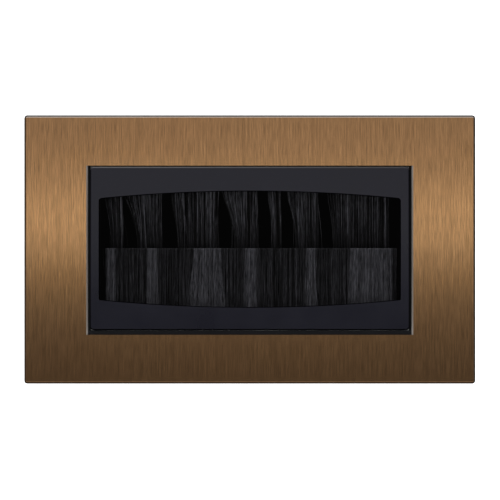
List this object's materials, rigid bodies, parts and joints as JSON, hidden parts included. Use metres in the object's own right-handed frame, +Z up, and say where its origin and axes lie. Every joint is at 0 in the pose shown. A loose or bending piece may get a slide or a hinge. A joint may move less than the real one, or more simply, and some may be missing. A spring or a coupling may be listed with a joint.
{
  "type": "brush cable grommet plate",
  "caption": "Flat screwless wall plate in brushed bronze with a black brush-lined cable outlet; cables pass between two strips of bristles into the back box.",
  "frame": {"origin": "midway between the two fixing screws, in the plane of the wall's surface", "axes": "+X along the long side, to the right as seen from the front; +Y into the wall; +Z up"},
  "size_m": [0.147, 0.0281, 0.0874],
  "materials": {
    "bronze": "vertically brushed bronze-plated metal, satin lacquer",
    "tray_plastic": "matt black moulded plastic",
    "bezel_plastic": "satin black moulded plastic",
    "frame_steel": "zinc-plated pressed steel",
    "screw_steel": "bright zinc plate",
    "channel_metal": "mill finish",
    "wire_steel": "drawn wire",
    "bristle": "fine black nylon filaments"
  },
  "bodies": {
    "base": {"mounting_frame": "frame_steel", "mounting_screws": "screw_steel", "brush_bezel": "bezel_plastic", "brush_retainer": "bezel_plastic", "upper_strip_channel": "channel_metal", "lower_strip_channel": "channel_metal", "upper_core_wire": "wire_steel", "lower_core_wire": "wire_steel", "upper_bristle_roots": "bristle", "lower_bristle_roots": "bristle"},
    "cover": {"face_plate": "bronze", "trim_frame": "tray_plastic"},
    "upper_tuft_1": {"upper_bristles_1": "bristle"},
    "upper_tuft_2": {"upper_bristles_2": "bristle"},
    "upper_tuft_3": {"upper_bristles_3": "bristle"},
    "upper_tuft_4": {"upper_bristles_4": "bristle"},
    "upper_tuft_5": {"upper_bristles_5": "bristle"},
    "upper_tuft_6": {"upper_bristles_6": "bristle"},
    "upper_tuft_7": {"upper_bristles_7": "bristle"},
    "upper_tuft_8": {"upper_bristles_8": "bristle"},
    "lower_tuft_1": {"lower_bristles_1": "bristle"},
    "lower_tuft_2": {"lower_bristles_2": "bristle"},
    "lower_tuft_3": {"lower_bristles_3": "bristle"},
    "lower_tuft_4": {"lower_bristles_4": "bristle"},
    "lower_tuft_5": {"lower_bristles_5": "bristle"},
    "lower_tuft_6": {"lower_bristles_6": "bristle"},
    "lower_tuft_7": {"lower_bristles_7": "bristle"}
  },
  "joints": [
    {"name": "cover_pull", "type": "slide", "parent": "base", "child": "cover", "axis": [0, -1, 0], "range_m": [0, 0.02]},
    {"name": "upper_tuft_1_bend", "type": "hinge", "parent": "base", "child": "upper_tuft_1", "pos_m": [0, -0.0011, 0.015], "axis": [1, 0, 0], "range_deg": [-60, 60], "stiffness_Nm_per_rad": 0.004},
    {"name": "upper_tuft_2_bend", "type": "hinge", "parent": "base", "child": "upper_tuft_2", "pos_m": [0, -0.0011, 0.015], "axis": [1, 0, 0], "range_deg": [-60, 60], "stiffness_Nm_per_rad": 0.004},
    {"name": "upper_tuft_3_bend", "type": "hinge", "parent": "base", "child": "upper_tuft_3", "pos_m": [0, -0.0011, 0.015], "axis": [1, 0, 0], "range_deg": [-60, 60], "stiffness_Nm_per_rad": 0.004},
    {"name": "upper_tuft_4_bend", "type": "hinge", "parent": "base", "child": "upper_tuft_4", "pos_m": [0, -0.0011, 0.015], "axis": [1, 0, 0], "range_deg": [-60, 60], "stiffness_Nm_per_rad": 0.004},
    {"name": "upper_tuft_5_bend", "type": "hinge", "parent": "base", "child": "upper_tuft_5", "pos_m": [0, -0.0011, 0.015], "axis": [1, 0, 0], "range_deg": [-60, 60], "stiffness_Nm_per_rad": 0.004},
    {"name": "upper_tuft_6_bend", "type": "hinge", "parent": "base", "child": "upper_tuft_6", "pos_m": [0, -0.0011, 0.015], "axis": [1, 0, 0], "range_deg": [-60, 60], "stiffness_Nm_per_rad": 0.004},
    {"name": "upper_tuft_7_bend", "type": "hinge", "parent": "base", "child": "upper_tuft_7", "pos_m": [0, -0.0011, 0.015], "axis": [1, 0, 0], "range_deg": [-60, 60], "stiffness_Nm_per_rad": 0.004},
    {"name": "upper_tuft_8_bend", "type": "hinge", "parent": "base", "child": "upper_tuft_8", "pos_m": [0, -0.0011, 0.015], "axis": [1, 0, 0], "range_deg": [-60, 60], "stiffness_Nm_per_rad": 0.004},
    {"name": "lower_tuft_1_bend", "type": "hinge", "parent": "base", "child": "lower_tuft_1", "pos_m": [0, -0.0011, -0.0148], "axis": [-1, 0, 0], "range_deg": [-60, 60], "stiffness_Nm_per_rad": 0.004},
    {"name": "lower_tuft_2_bend", "type": "hinge", "parent": "base", "child": "lower_tuft_2", "pos_m": [0, -0.0011, -0.0148], "axis": [-1, 0, 0], "range_deg": [-60, 60], "stiffness_Nm_per_rad": 0.004},
    {"name": "lower_tuft_3_bend", "type": "hinge", "parent": "base", "child": "lower_tuft_3", "pos_m": [0, -0.0011, -0.0148], "axis": [-1, 0, 0], "range_deg": [-60, 60], "stiffness_Nm_per_rad": 0.004},
    {"name": "lower_tuft_4_bend", "type": "hinge", "parent": "base", "child": "lower_tuft_4", "pos_m": [0, -0.0011, -0.0148], "axis": [-1, 0, 0], "range_deg": [-60, 60], "stiffness_Nm_per_rad": 0.004},
    {"name": "lower_tuft_5_bend", "type": "hinge", "parent": "base", "child": "lower_tuft_5", "pos_m": [0, -0.0011, -0.0148], "axis": [-1, 0, 0], "range_deg": [-60, 60], "stiffness_Nm_per_rad": 0.004},
    {"name": "lower_tuft_6_bend", "type": "hinge", "parent": "base", "child": "lower_tuft_6", "pos_m": [0, -0.0011, -0.0148], "axis": [-1, 0, 0], "range_deg": [-60, 60], "stiffness_Nm_per_rad": 0.004},
    {"name": "lower_tuft_7_bend", "type": "hinge", "parent": "base", "child": "lower_tuft_7", "pos_m": [0, -0.0011, -0.0148], "axis": [-1, 0, 0], "range_deg": [-60, 60], "stiffness_Nm_per_rad": 0.004}
  ]
}
